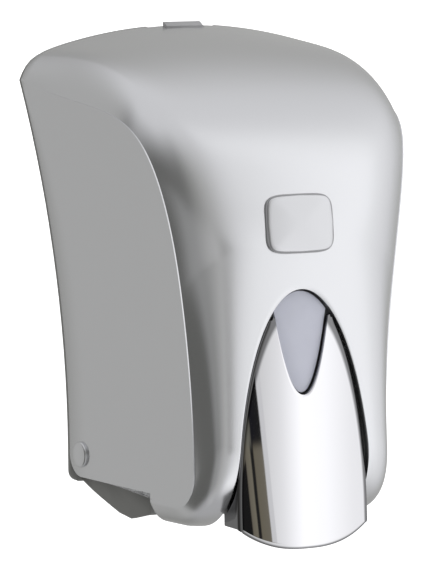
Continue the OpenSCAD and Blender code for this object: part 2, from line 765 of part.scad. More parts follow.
module pump_cylinder() {
  color("#e4e7e9")
    difference() {
      union() {
        translate([0, -pump_d, barrel_z]) cylinder(r = neck_r + 1, h = flange_t);
        translate([0, -pump_d, barrel_low])
          cylinder(r = cylinder_r + barrel_t, h = barrel_z - barrel_low + 1);
      }
      difference() {
        translate([0, -pump_d, barrel_low - 1]) cylinder(r = cylinder_r, h = barrel_z - barrel_low + 1);
        translate([0, -pump_d, dose_low]) cylinder(r = dose_r + dose_wall, h = 30);
      }
      difference() {
        translate([0, -pump_d, dose_low - 1]) cylinder(r = dose_r, h = barrel_z - dose_low + 1);
        block(-6, 6, pump_d - 0.5, pump_d + 0.5, cage_z, cage_z + 0.6);
      }
      translate([0, -pump_d, barrel_z - 1]) cylinder(r = seat_r, h = 10);
    }
}

module cylinder_cap() {
  color("#d5d8da") tube(stem_r + 0.3, cylinder_r + barrel_t, barrel_low - cap_t, barrel_low);
}

module inlet_ball() {
  color("#b4b7ba") translate([0, -pump_d, ball_z]) sphere(r = ball_r);
}

module plunger_spring() {
  color("#9d9fa2") translate([0, -pump_d, piston_top]) coil(8, wire_r, barrel_z - piston_top, 5);
}

module pump_piston() {
  stem_low = collar_low - 1;
  color("#dfe2e4")
    difference() {
      union() {
        translate([0, -pump_d, piston_top - piston_t]) cylinder(r = cylinder_r - 0.3, h = piston_t);
        translate([0, -pump_d, piston_top - 1])
          cylinder(r = dose_r - run_gap, h = rod_top - piston_top + 1);
        translate([0, -pump_d, stem_low]) cylinder(r = stem_r, h = piston_top - stem_low - 1);
      }
      translate([0, -pump_d, piston_top - 2.5]) rotate_extrude()
        translate([cylinder_r - 1.6, 0]) square([3, 1.6]);
      translate([0, -pump_d, stem_low - 1]) cylinder(r = 1.4, h = 60);
      translate([0, -pump_d, stem_low - 1]) cylinder(r = 3, h = 9);
    }
}

module piston_seal() {
  color("#2f3133") tube(cylinder_r - 1.6, cylinder_r - 0.05, piston_top - 2.45, piston_top - 0.95);
}

module mesh_cartridge() {
  z0 = nozzle_low + 4;
  z1 = collar_low - 1.4;
  color("#c9cccf")
    union() {
      tube(2.7, 3.5, z0, z1);
      for (z = [z0 + 0.4, z1 - 0.8])
        translate([0, -pump_d, z]) cylinder(r = 3, h = 0.4);
    }
}

module foam_nozzle() {
  color("#ced2d5")
    difference() {
      union() {
        translate([0, -pump_d, collar_low]) cylinder(r = collar_r, h = collar_top - collar_low);
        translate([0, -pump_d, nozzle_low + 4]) cylinder(r = 8, h = collar_low - nozzle_low);
        translate([0, -pump_d, nozzle_low]) cylinder(r1 = 5.4, r2 = 8, h = 4);
        rod_x(-lift_x, lift_x, pump_d, lift_z, lift_r);
      }
      translate([0, -pump_d, collar_low - 1.05]) cylinder(r = stem_r, h = 30);
      translate([0, -pump_d, nozzle_low + 3.9]) cylinder(r = 3.55, h = 30);
      translate([0, -pump_d, nozzle_low - 1]) cylinder(r = 2.6, h = 30);
    }
}

wall_base();
hinge_pins();
front_cover();
level_window();
window_screws();
badge_plate();
badge_dome();
push_lever();
lever_shaft();
shaft_rings();
lever_springs();
latch_button();
latch_spring();
soap_tank();
tank_lid();
lid_seal();
pump_bracket();
bracket_screws();
pump_collar();
outlet_seal();
pump_cylinder();
cylinder_cap();
inlet_ball();
plunger_spring();
pump_piston();
piston_seal();
mesh_cartridge();
foam_nozzle();
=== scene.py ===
"""Looks of a wall soap foam dispenser, modelled and painted round its packed solids."""

import json
import math

import bmesh
import bpy
from mathutils import Matrix, Vector


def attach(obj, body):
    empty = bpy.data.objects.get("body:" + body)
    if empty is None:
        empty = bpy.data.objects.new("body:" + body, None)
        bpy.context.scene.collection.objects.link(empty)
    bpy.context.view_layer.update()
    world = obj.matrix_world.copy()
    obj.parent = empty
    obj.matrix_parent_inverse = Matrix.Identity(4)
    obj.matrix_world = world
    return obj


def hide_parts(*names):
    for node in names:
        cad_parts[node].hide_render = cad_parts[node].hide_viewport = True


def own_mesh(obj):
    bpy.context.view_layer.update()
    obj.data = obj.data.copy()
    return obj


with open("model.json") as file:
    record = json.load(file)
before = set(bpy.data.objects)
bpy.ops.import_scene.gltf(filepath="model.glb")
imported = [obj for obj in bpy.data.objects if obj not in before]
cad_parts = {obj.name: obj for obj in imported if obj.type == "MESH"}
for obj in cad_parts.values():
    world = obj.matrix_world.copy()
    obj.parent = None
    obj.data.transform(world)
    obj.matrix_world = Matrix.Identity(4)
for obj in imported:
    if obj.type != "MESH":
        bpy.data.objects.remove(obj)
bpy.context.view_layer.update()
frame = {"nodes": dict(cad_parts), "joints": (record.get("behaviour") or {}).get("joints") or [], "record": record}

bl_info = {
    "name": "Foam Dispenser Looks",
    "version": (1, 0, 0),
    "blender": (4, 5, 0),
    "location": "3D View > Sidebar > Dispenser",
    "description": "Models and paints the pieces of a wall foam dispenser",
    "category": "Object",
}


def length(name, description, default):
    """A size in metres that a user may change."""
    return bpy.props.FloatProperty(
        name=name, description=description, default=default, unit="LENGTH", precision=5
    )


def number(name, description, default):
    """A plain number that a user may change."""
    return bpy.props.FloatProperty(
        name=name, description=description, default=default, precision=4
    )


def tint(name, description, default):
    """A colour that a user may change."""
    return bpy.props.FloatVectorProperty(
        name=name, description=description, default=default, size=3, subtype="COLOR", min=0, max=1
    )


class DispenserCover(bpy.types.PropertyGroup):
    """Sizes of the silver cover."""

    side_width: length("Side width", "Width across the lower part of the sides, at the wall", 0.103)
    top_width: length("Top width", "Width across the upper corners, at the wall", 0.1414)
    flare_height: length("Flare height", "Height above which the sides flare", -0.0594)
    side_taper: number("Side taper", "How much each side leans in towards the front", 0.0966)
    corner_height: length("Corner height", "Height of the upper corners at the wall", 0.090)
    top_height: length("Top height", "Height of the top at the wall", 0.1108)
    front_depth: length("Front depth", "Depth of the front face at mid height", 0.1094)
    front_lean: number("Front lean", "Forward lean of the front face as it drops", 0.04)
    crease_depth: length("Crease depth", "Depth of the side crease at mid height", 0.098)
    crease_lean: number("Crease lean", "Forward lean of the side crease as it drops", 0.0158)
    crease_low: length("Crease low", "Height of the lower run of the side crease", -0.0736)
    crease_turn: length("Crease turn", "Radius of the lower turn of the side crease", 0.014)
    crease_step: length("Crease step", "How far the panels stand proud along the crease", 0.0005)
    bottom_height: length("Bottom height", "Height of the underside", -0.083)
    under_depth: length("Underside depth", "Depth of the rear edge of the underside", 0.066)
    rear_depth: length("Rear depth", "Depth of the rear edge", 0.0028)
    wall: length("Wall", "Wall thickness", 0.0028)
    rim: length("Rim", "Rounding of the free edges", 0.0004)
    hinge_depth: length("Hinge depth", "Depth of the hinge axis", 0.012)
    hinge_height: length("Hinge height", "Height of the hinge axis", -0.061)
    boss: length("Boss", "Radius of the round boss over the hinge", 0.0052)
    boss_rise: length("Boss rise", "How far that boss stands out", 0.0011)
    arch_width: length("Arch width", "Width of the cut-out for the lever", 0.058)
    arch_top: length("Arch top", "Height of the top of the cut-out", 0.0114)
    arch_middle: length("Arch middle", "Height where the cut-out is widest", -0.075)
    notch_width: length("Notch width", "Width of the notch round the latch", 0.030)
    notch_depth: length("Notch depth", "Depth of that notch from the wall", 0.0045)
    slot_width: length("Slot width", "Width of the slot that the latch rises through", 0.0172)
    slot_depth: length("Slot depth", "Depth of that slot from the wall", 0.0088)


class DispenserLever(bpy.types.PropertyGroup):
    """Sizes of the chrome lever."""

    gap: length("Gap", "Gap between the lever and the cut-out", 0.0008)
    wall: length("Wall", "Wall thickness", 0.002)
    face_radius: length("Face radius", "Radius of the face seen from above", 0.150)
    corner: length("Corner", "Rounding between face and flange", 0.0016)
    turn_height: length("Turn height", "Height of the lower corners", -0.080)
    low: length("Low", "Lowest point", -0.0889)
    notch_low: length("Notch low", "Lowest point of the notch over the window", -0.0294)
    notch_half: length("Notch half", "Half the width of the notch at the tips", 0.0114)
    horn: length("Horn", "Height of the two tips", 0.001)
    blunt: length("Blunt", "Rounding of the two tips", 0.0007)
    flange: length("Flange", "Depth of the side flanges", 0.0126)
    shaft_depth: length("Shaft depth", "Depth of the lever shaft", 0.098)
    shaft_height: length("Shaft height", "Height of the lever shaft", -0.008)


class DispenserBadge(bpy.types.PropertyGroup):
    """Sizes of the bare badge."""

    width: length("Width", "Width of the plate", 0.029)
    height: length("Height", "Height of the plate", 0.023)
    middle: length("Middle", "Height of the middle of the badge", 0.0366)
    plate: length("Plate", "Thickness of the plate", 0.0006)
    rise: length("Rise", "Rise of the dome over the plate", 0.0014)
    bow: number("Bow", "How far the sides bulge between the corners", 0.065)


class DispenserColours(bpy.types.PropertyGroup):
    """Colours of the finishes."""

    silver: tint("Silver", "Satin paint of the cover", (0.60, 0.605, 0.615))
    chrome: tint("Chrome", "Plating of the lever", (0.62, 0.62, 0.63))
    base: tint("Base", "Moulded base", (0.24, 0.24, 0.23))
    window: tint("Window", "Frosted level window", (0.60, 0.615, 0.70))
    badge: tint("Badge", "Face of the badge", (0.66, 0.665, 0.68))
    tank: tint("Tank", "Translucent tank", (0.80, 0.83, 0.86))
    pump: tint("Pump", "Moulded pump", (0.80, 0.81, 0.82))
    steel: tint("Steel", "Pins, screws and springs", (0.55, 0.55, 0.56))


class DispenserStage(bpy.types.PropertyGroup):
    """Camera and light."""

    azimuth: number("Azimuth", "Camera angle round the object, in degrees", -26.0)
    elevation: number("Elevation", "Camera angle above the object, in degrees", 5.46)
    roll: number("Roll", "Camera roll, in degrees", -0.55)
    distance: length("Distance", "Camera distance from its target", 1.572)
    target_depth: length("Target depth", "Depth of the camera's target", 0.0295)
    lens: number("Lens", "Focal length in millimetres over a 36 mm side", 245.9)
    floor: length("Floor", "Height of the floor", -0.45)
    light: number("Light", "Strength of the studio light", 1.0)


# Modelling helpers

# points of a mesh that lie nearer than this are one point
REACH = 2e-6


def deselect():
    """Leave edit mode and deselect everything."""
    if bpy.context.object and bpy.context.object.mode != "OBJECT":
        bpy.ops.object.mode_set(mode="OBJECT")
    bpy.ops.object.select_all(action="DESELECT")


def pick(obj):
    """Make one object the only selected and active one."""
    deselect()
    obj.select_set(True)
    bpy.context.view_layer.objects.active = obj


def take(name):
    """Name the object that an operator has just added, with its place put into its mesh."""
    obj = bpy.context.object
    obj.name = name
    obj.data.name = name
    bpy.ops.object.transform_apply(location=True, rotation=True, scale=True)
    return obj


def sheet(name, rows):
    """A grid whose points lie on the given rows of places."""
    deselect()
    bpy.ops.mesh.primitive_grid_add(
        x_subdivisions=len(rows[0]) - 1, y_subdivisions=len(rows) - 1, size=1
    )
    obj = take(name)
    obj.data.vertices.foreach_set("co", [c for row in rows for place in row for c in place])
    obj.data.update()
    return obj


def clean(obj, reach=REACH):
    """Merge the doubles of a mesh and turn its faces outwards."""
    pick(obj)
    bpy.ops.object.mode_set(mode="EDIT")
    bpy.ops.mesh.select_all(action="SELECT")
    bpy.ops.mesh.remove_doubles(threshold=reach)
    bpy.ops.mesh.dissolve_degenerate(threshold=reach)
    bpy.ops.mesh.normals_make_consistent(inside=False)
    bpy.ops.object.mode_set(mode="OBJECT")


def bevel_edges(obj, test, width, segments=2):
    """Bevel the edges that pass a test."""
    pick(obj)
    bpy.ops.object.mode_set(mode="EDIT")
    bpy.ops.mesh.select_mode(type="EDGE")
    bpy.ops.mesh.select_all(action="DESELECT")
    mesh = bmesh.from_edit_mesh(obj.data)
    for edge in mesh.edges:
        if test(edge):
            edge.select_set(True)
    bmesh.update_edit_mesh(obj.data)
    bpy.ops.mesh.bevel(offset=width, segments=segments, profile=0.5, clamp_overlap=True)
    bpy.ops.object.mode_set(mode="OBJECT")


def sharper_than(degrees):
    """A test for edges between two faces that turn more than this."""
    limit = math.radians(degrees)
    return lambda edge: len(edge.link_faces) == 2 and edge.calc_face_angle(0) > limit


def modify(obj, kind, **settings):
    """Add a modifier with these settings and apply it."""
    pick(obj)
    modifier = obj.modifiers.new(kind.title(), kind)
    for key, value in settings.items():
        setattr(modifier, key, value)
    bpy.ops.object.modifier_apply(modifier=modifier.name)


def carve(obj, tool):
    """Cut one closed mesh out of another and remove the tool."""
    modify(obj, "BOOLEAN", operation="DIFFERENCE", object=tool, solver="EXACT")
    bpy.data.objects.remove(tool)


def join(obj, *others):
    """Join closed meshes into the first one."""
    pick(obj)
    for other in others:
        other.select_set(True)
    bpy.ops.object.join()
    return obj


def block(name, low, high, rounding=0.0):
    """A box between two corners, with rounded edges."""
    deselect()
    middle = [(a + b) / 2 for a, b in zip(low, high)]
    sides = [b - a for a, b in zip(low, high)]
    bpy.ops.mesh.primitive_cube_add(size=1, location=middle, scale=sides)
    obj = take(name)
    if rounding:
        bevel_edges(obj, lambda edge: True, rounding)
    return obj


def slab(name, outline, left, right, rounding=0.0003):
    """A plate across X, from its outline of depths and heights."""
    deselect()
    bpy.ops.mesh.primitive_circle_add(vertices=len(outline), radius=1, fill_type="NGON")
    obj = take(name)
    obj.data.vertices.foreach_set("co", [c for d, z in outline for c in (left, -d, z)])
    obj.data.update()
    pick(obj)
    bpy.ops.object.mode_set(mode="EDIT")
    bpy.ops.mesh.select_all(action="SELECT")
    bpy.ops.mesh.extrude_region_move(TRANSFORM_OT_translate={"value": (right - left, 0, 0)})
    bpy.ops.mesh.select_all(action="SELECT")
    bpy.ops.mesh.normals_make_consistent(inside=False)
    bpy.ops.object.mode_set(mode="OBJECT")
    if rounding:
        bevel_edges(obj, sharper_than(30), rounding)
    return obj


def merged_copy(node, rounding, segments=2, angle=35):
    """A copy of a solid, merged into one skin, with its sharp edges rounded."""
    solid = frame["nodes"][node]
    obj = bpy.data.objects.new(node + "_piece", solid.data.copy())
    bpy.context.scene.collection.objects.link(obj)
    obj.data.materials.clear()
    pick(obj)
    bpy.ops.mesh.customdata_custom_splitnormals_clear()
    bpy.ops.object.mode_set(mode="EDIT")
    bpy.ops.mesh.select_all(action="SELECT")
    bpy.ops.mesh.remove_doubles(threshold=REACH)
    bpy.ops.mesh.dissolve_limited(angle_limit=math.radians(0.3))
    bpy.ops.object.mode_set(mode="OBJECT")
    if rounding:
        bevel_edges(obj, sharper_than(angle), rounding, segments)
    return obj


def soften(obj, degrees=30):
    """Smooth shading, with edges sharper than this left crisp."""
    pick(obj)
    bpy.ops.object.shade_smooth_by_angle(angle=math.radians(degrees))


def finish_piece(obj, body, node, material, degrees=30):
    """Shade and paint a piece, and set it in the frame in place of its solid."""
    soften(obj, degrees)
    obj.data.materials.clear()
    obj.data.materials.append(material)
    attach(obj, body)
    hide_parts(node)


def ease(t):
    """A smooth step from 0 to 1."""
    t = min(max(t, 0.0), 1.0)
    return t * t * (3 - 2 * t)


def bezier(a, b, c, e, t):
    """A point on a cubic curve of depths and heights."""
    s = 1 - t
    weights = (s * s * s, 3 * s * s * t, 3 * s * t * t, t * t * t)
    return tuple(sum(w * p[k] for w, p in zip(weights, (a, b, c, e))) for k in (0, 1))


class CoverForm:
    """The cover's surface. Runs go from the underside (0 to 1) through the lower turn (to 2)
    and the front (to 3) to the rear edge of the top (4)."""

    # where the upper curves start below the corner and the top, how far up their first handles
    # reach, and their second handles, as a share of the depth and a drop
    crease_drop, crease_pull, crease_handle = 0.078, 0.082, (0.77, 0.017)
    middle_drop, middle_pull, middle_handle = 0.0825, 0.0665, (0.5, 0.0094)
    # reach and rise of the lower turn in the middle
    middle_reach, middle_rise = 0.036, 0.034
    # how far the free edge of the panel ends below the upper corner
    edge_drop = 0.003
    # the crown's edge: how much of its fall is sudden, and how sudden, low down, with the change
    # up the front and the change over the top
    sudden, sudden_front, sudden_top = 0.93, 0.08, 0.45
    power, power_front, power_top = 14, 7, 13
    # how far the rows climb round the top of the cut-out, and over how long a run
    climb, climb_run = 0.34, 0.5
    # share of the wall that the inner crease moves in by
    crease_share = 0.7

    def __init__(self, sizes, inset=0.0):
        self.s = sizes
        self.inset = inset
        s = sizes
        span = s.corner_height - s.flare_height
        self.flare = (s.top_width - s.side_width) / 2 / span**2
        self.crease_turn_z = s.crease_low + s.crease_turn
        self.crease_turn_d = s.crease_depth - s.crease_lean * self.crease_turn_z - s.crease_turn
        self.crease_top_z = s.corner_height - self.crease_drop
        self.middle_top_z = s.top_height - self.middle_drop
        self.middle_turn_z = s.bottom_height + self.middle_rise
        self.middle_turn_d = self.front(self.middle_turn_z) - self.middle_reach

    def front(self, z):
        """The depth of the straight front at a height."""
        return self.s.front_depth - self.s.front_lean * z

    def side(self, d, z):
        """Half the width at a depth and a height."""
        s = self.s
        wide = s.side_width / 2 + self.flare * max(z - s.flare_height, 0) ** 2
        return wide - s.side_taper * d - self.inset

    def inside(self, curve, t, depth):
        """A point of a curve moved in by a depth, square to the curve."""
        a, b, p = curve(max(t - 0.01, 0.0)), curve(min(t + 0.01, 4.0)), curve(t)
        run = (b[0] - a[0], b[1] - a[1])
        reach = depth / math.hypot(*run)
        d = self.s.under_depth if t == 0 else max(p[0] - run[1] * reach, self.s.rear_depth)
        return self.s.rear_depth if t == 4 else d, p[1] + run[0] * reach

    def crease(self, t):
        """The side crease of this skin."""
        if not self.inset:
            return self.outer_crease(t)
        return self.inside(self.outer_crease, t, self.inset * self.crease_share)

    def middle(self, t):
        """The middle line of this skin."""
        if not self.inset:
            return self.outer_middle(t)
        return self.inside(self.outer_middle, t, self.inset)

    def outer_crease(self, t):
        """The depth and height of the side crease on the outer skin."""
        s = self.s
        if t < 1:
            return s.under_depth + (self.crease_turn_d - s.under_depth) * t, s.crease_low
        if t < 2:
            a = math.radians(90 * (t - 2))
            return (
                self.crease_turn_d + s.crease_turn * math.cos(a),
                self.crease_turn_z + s.crease_turn * math.sin(a),
            )
        if t < 3:
            z = self.crease_turn_z + (self.crease_top_z - self.crease_turn_z) * (t - 2)
            return s.crease_depth - s.crease_lean * z, z
        z = self.crease_top_z
        return bezier(
            (s.crease_depth - s.crease_lean * z, z),
            (s.crease_depth - s.crease_lean * (z + self.crease_pull), z + self.crease_pull),
            (s.crease_depth * self.crease_handle[0], s.corner_height - self.crease_handle[1]),
            (s.rear_depth, s.corner_height),
            t - 3,
        )

    def outer_middle(self, t):
        """The depth and height of the middle line on the outer skin."""
        s = self.s
        if t < 1:
            return s.under_depth + (self.middle_turn_d - s.under_depth) * t, s.bottom_height
        if t < 2:
            a = math.radians(90 * (t - 2))
            return (
                self.middle_turn_d + self.middle_reach * math.cos(a),
                self.middle_turn_z + self.middle_rise * math.sin(a),
            )
        if t < 3:
            z = self.middle_turn_z + (self.middle_top_z - self.middle_turn_z) * (t - 2)
            return self.front(z), z
        z = self.middle_top_z
        return bezier(
            (self.front(z), z),
            (self.front(z + self.middle_pull), z + self.middle_pull),
            (s.front_depth * self.middle_handle[0], s.top_height - self.middle_handle[1]),
            (s.rear_depth, s.top_height),
            t - 3,
        )

    def edge(self, t):
        """The depth and height of the free edge of the side panel."""
        s = self.s
        reach = s.hinge_depth - s.rear_depth
        if t < 2:
            return s.under_depth + (s.hinge_depth - s.under_depth) * t / 2, s.hinge_height - reach
        if t < 3:
            a = math.radians(-90 * (t - 1))
            return s.hinge_depth + reach * math.cos(a), s.hinge_height + reach * math.sin(a)
        top = s.corner_height - self.edge_drop
        return s.rear_depth, s.hinge_height + (top - s.hinge_height) * (t - 3)

    def step(self, t):
        """How far the panel stands proud of the crown along the crease."""
        return 0.0 if self.inset else self.s.crease_step * ease(t - 1.2) * ease((4 - t) * 6)

    def half(self, t):
        """Half the width of the crown."""
        return self.side(*self.crease(t)) - self.step(t)

    def place(self, u, t):
        """A point of the crown, from -1 at the left crease to 0 in the middle."""
        rise = max(t - 2, 0.0)
        over = max(rise - 1, 0.0)
        sudden = self.sudden - self.sudden_front * (rise - over) - self.sudden_top * over**5
        power = self.power - self.power_front * (rise - over) + self.power_top * over
        share = 1 - sudden * abs(u) ** power - (1 - sudden) * u * u
        c, m = self.crease(t), self.middle(t)
        return (
            self.half(t) * u,
            -(c[0] + (m[0] - c[0]) * share),
            c[1] + (m[1] - c[1]) * share,
        )

    def panel(self, t, share):
        """A point of the left panel, from its free edge (0) to the crease (1)."""
        e, c = self.edge(t), self.crease(t)
        d, z = e[0] + (c[0] - e[0]) * share, e[1] + (c[1] - e[1]) * share
        return -self.side(d, z), -d, z

    def depth(self, z):
        """The depth of the middle line at a height."""
        return -self.place(0, self.meet(0, z))[1]

    def meet(self, x, z):
        """The run whose surface passes a width and a height on the front."""
        low, high = 0.6, 3.4
        for _ in range(50):
            t = (low + high) / 2
            if self.place(x / self.half(t), t)[2] < z:
                low = t
            else:
                high = t
        return (low + high) / 2

    def rows(self):
        """Rows of the left half, from the panel's free edge to the cut-out or the middle line."""
        s = self.s
        half = s.arch_width / 2
        rise = s.arch_top - s.arch_middle
        start = self.meet(-half, s.arch_middle)
        apex = self.meet(0, s.arch_top)
        ends = [(-half / self.half(t), t) for t in [start * i / 22 for i in range(22)]]
        for i in range(48):
            a = math.radians(90 * i / 48)
            x = -half * math.cos(a)
            t = self.meet(x, s.arch_middle + rise * math.sin(a))
            ends.append((x / self.half(t), t))
        ends += [(0.0, apex + (4 - apex) * (i / 72) ** 1.15) for i in range(73)]
        return [self.row(u, t, start, apex) for u, t in ends]

    def row(self, u_end, t_end, start, apex):
        """One row, which climbs round the top of the cut-out on its way from the crease."""
        fade = (t_end - start) / (apex - start) if t_end < apex else (4 - t_end) / (4 - apex)
        near = math.exp(-(((t_end - apex) / self.climb_run) ** 2))
        t_crease = min(t_end + self.climb * near * ease(fade), 4.0)
        places = [self.panel(t_crease, i / 6) for i in range(7)]
        for i in range(45):
            w = i / 44
            share = 0.3 * w + 0.7 * (1 - math.cos(math.pi / 2 * w))
            t = t_crease + (t_end - t_crease) * w**3
            places.append(self.place(-1 + (1 + u_end) * share, t))
        return places


class LeverForm:
    """The lever's surface, seen from the front as a pointed arch with a notch."""

    # powers of the lower edge and of the notch
    sag_power, notch_power = 2.6, 2.2
    # flange depth at the tips, and where and over how much height it deepens
    tip_flange, flange_start, flange_run = 0.0022, 0.026, 0.014
    # height over which the lower edge's sag fades out of the rows
    sag_run = 0.03
    # how far the rows dip beside the foot of the notch, and over how much height
    dip, dip_run = 0.012, 0.02

    def __init__(self, lever, cover, inset=0.0):
        self.s = lever
        self.cover = cover
        self.inset = inset
        self.half = cover.s.arch_width / 2 - lever.gap
        self.rise = cover.s.arch_top - cover.s.arch_middle - lever.gap

    def outer(self, z):
        """Half the width of the lever at a height."""
        s = self.cover.s
        wide = self.half * math.sqrt(max(1 - (max(z - s.arch_middle, 0) / self.rise) ** 2, 0))
        return wide - self.rounded(z)

    def rounded(self, z):
        """How far the two sides of a tip draw in towards each other."""
        r = self.s.blunt
        over = max(z - self.s.horn + r, 0.0)
        return r - math.sqrt(max(r * r - over * over, 0.0))

    def inner(self, z):
        """Half the width of the notch at a height."""
        s = self.s
        if z <= s.notch_low:
            return 0.0
        if z < 0:
            return s.notch_half * (1 - z / s.notch_low) ** (1 / self.notch_power) + self.rounded(z)
        return s.notch_half + 0.2 * z + self.rounded(z)

    def face(self, x, z):
        """The depth of the face at a width and a height."""
        r = self.s.face_radius
        return self.cover.front(z) - (r - math.sqrt(r * r - x * x))

    def sag(self, x):
        """How far the lower edge drops below the lower corners."""
        s = self.s
        return (s.turn_height - s.low) * (1 - min(abs(x) / self.half, 1) ** self.sag_power)

    def rows(self):
        """Rows of the left half, from the lower edge to the tip, out to the middle or the notch."""
        s = self.s
        ends = [(s.turn_height + (s.notch_low - s.turn_height) * i / 40, 0.0) for i in range(40)]
        top = s.horn - s.blunt
        heights = [top - (top - s.notch_low) * (1 - (i / 36) ** 1.7) for i in range(37)]
        heights += [top + s.blunt * math.sin(math.radians(a)) for a in (20, 40, 58, 72, 84)]
        ends += [(z, self.inner(z)) for z in heights]
        return [self.row(z, x) for z, x in ends]

    def row(self, z_end, x_end):
        """One row, from the rear of the flange round the corner and over the face."""
        s = self.s
        near = math.exp(-(((z_end - s.notch_low) / self.dip_run) ** 2))
        z_out = z_end - self.dip * near * ease((z_end - s.turn_height) / self.sag_run)
        drop = max(0.0, 1 - (z_end - s.turn_height) / self.sag_run) ** 2
        wide = self.outer(z_out)
        corner = min(s.corner, (wide - x_end) / 2.5)
        deep = 1 - ease((z_out + self.flange_start) / self.flange_run)
        flange = self.tip_flange + (s.flange - self.tip_flange) * deep
        front = self.face(wide, z_out)
        rear = front - flange
        inside = wide - corner
        share = min(self.inset, (wide - x_end) / 3)
        wide, front, corner = wide - share, front - self.inset, max(corner - share, 0.0002)
        inside = min(inside, wide - corner)
        shoulder = self.face(inside, z_out - self.sag(inside) * drop) - self.inset
        places = [(-wide, -(rear + (front - corner - rear) * i / 6), z_out) for i in range(6)]
        for i in range(7):
            a = math.radians(90 * i / 6)
            d = front - corner + (shoulder - front + corner) * math.sin(a)
            z = z_out - self.sag(inside) * drop * (i / 6)
            places.append((-(inside + corner * math.cos(a)), -d, z))
        for i in range(1, 33):
            w = i / 32
            x = inside + (x_end - inside) * w
            z = z_out + (z_end - z_out) * w**3 - self.sag(x) * drop
            places.append((-x, -(self.face(x, z) - self.inset), z))
        return places


def closed_half(name, outer, inner, rim):
    """A left half from two skins, made whole by its mirror image, with rounded rims."""
    ends = (outer[0], inner[0]), (outer[-1], inner[-1])
    first, final = (
        [tuple((a + b) / 2 for a, b in zip(p, q)) for p, q in zip(*end)] for end in ends
    )
    skins = [(first, first), *zip(outer, inner), (final, final)]
    obj = sheet(name, [[*out, *reversed(into), out[0]] for out, into in skins])
    width, wide, last = len(outer[0]), 2 * len(outer[0]) + 1, len(outer)
    rims = obj.vertex_groups.new(name="rim")
    along = [row * wide + k for row in range(1, last + 1) for k in (0, width - 1, wide - 1)]
    across = [row * wide + k for row in (1, last) for k in range(width)]
    for points in (along, across):
        rims.add(points, 1, "REPLACE")
    clean(obj)
    pick(obj)
    bpy.ops.object.mode_set(mode="EDIT")
    bpy.ops.mesh.select_mode(type="FACE")
    bpy.ops.mesh.select_all(action="DESELECT")
    mesh = bmesh.from_edit_mesh(obj.data)
    for face in mesh.faces:
        face.select_set(all(abs(v.co.x) < REACH for v in face.verts))
    bmesh.update_edit_mesh(obj.data)
    bpy.ops.mesh.delete(type="FACE")
    bpy.ops.object.mode_set(mode="OBJECT")
    modify(obj, "MIRROR", use_axis=(True, False, False), merge_threshold=2 * REACH)
    clean(obj)
    group = obj.vertex_groups["rim"].index
    on_rim = {
        v.index for v in obj.data.vertices
        if any(g.group == group and g.weight > 0.9 for g in v.groups)
    }
    turned = sharper_than(50)
    bevel_edges(
        obj, lambda edge: turned(edge) and all(v.index in on_rim for v in edge.verts), rim
    )
    obj.vertex_groups.clear()
    return obj


# Finishes


class Wire:
    """A shader output that can be used in sums and products."""

    def __init__(self, nodes, socket):
        self.nodes = nodes
        self.socket = socket

    def __add__(self, other):
        return self.nodes.math("ADD", self, other)

    __radd__ = __add__

    def __sub__(self, other):
        return self.nodes.math("SUBTRACT", self, other)

    def __rsub__(self, other):
        return self.nodes.math("SUBTRACT", other, self)

    def __mul__(self, other):
        return self.nodes.math("MULTIPLY", self, other)

    __rmul__ = __mul__


class Nodes:
    """A tree of shader nodes."""

    def __init__(self, tree):
        self.tree = tree

    def node(self, kind, settings=None, sockets=None, output=0):
        """Any node, with its settings made first and then its sockets given values or links."""
        made = self.tree.nodes.new(kind)
        for key, value in (settings or {}).items():
            if key == "stops":
                ramp = made.color_ramp.elements
                while len(ramp) > 1:
                    ramp.remove(ramp[-1])
                ramp[0].position, ramp[0].color = value[0]
                for place, colour in value[1:]:
                    ramp.new(place).color = colour
            else:
                setattr(made, key, value)
        for key, value in (sockets or {}).items():
            self.plug(made.inputs[key], value)
        return Wire(self, made.outputs[output])

    def plug(self, socket, value):
        """Link a socket to an output, or set its own value."""
        if isinstance(value, Wire):
            self.tree.links.new(value.socket, socket)
        elif socket.type == "RGBA" and len(value) == 3:
            socket.default_value = (*value, 1)
        else:
            socket.default_value = value

    def math(self, how, *values):
        """One sum on one or two values."""
        return self.node("ShaderNodeMath", {"operation": how}, dict(enumerate(values)))

    def parts(self, vector):
        """The three parts of a vector."""
        return [self.node("ShaderNodeSeparateXYZ", None, {0: vector}, i) for i in range(3)]

    def blend(self, share, first, second):
        """A mix of two colours."""
        return self.node(
            "ShaderNodeMix", {"data_type": "RGBA"}, {0: share, 6: first, 7: second}, output=2
        )

    def between(self, value, low, high):
        """A smooth step from 0 at the first value to 1 at the second."""
        return self.node(
            "ShaderNodeMapRange",
            {"interpolation_type": "SMOOTHSTEP"},
            {"Value": value, "From Min": low, "From Max": high},
        )

    def ramp(self, value, low, high, stops):
        """Colours along a range of values."""
        share = (value - low) * (1 / (high - low))
        places = [((at - low) / (high - low), (*colour, 1)) for at, colour in stops]
        return self.node("ShaderNodeValToRGB", {"stops": places}, {0: share})


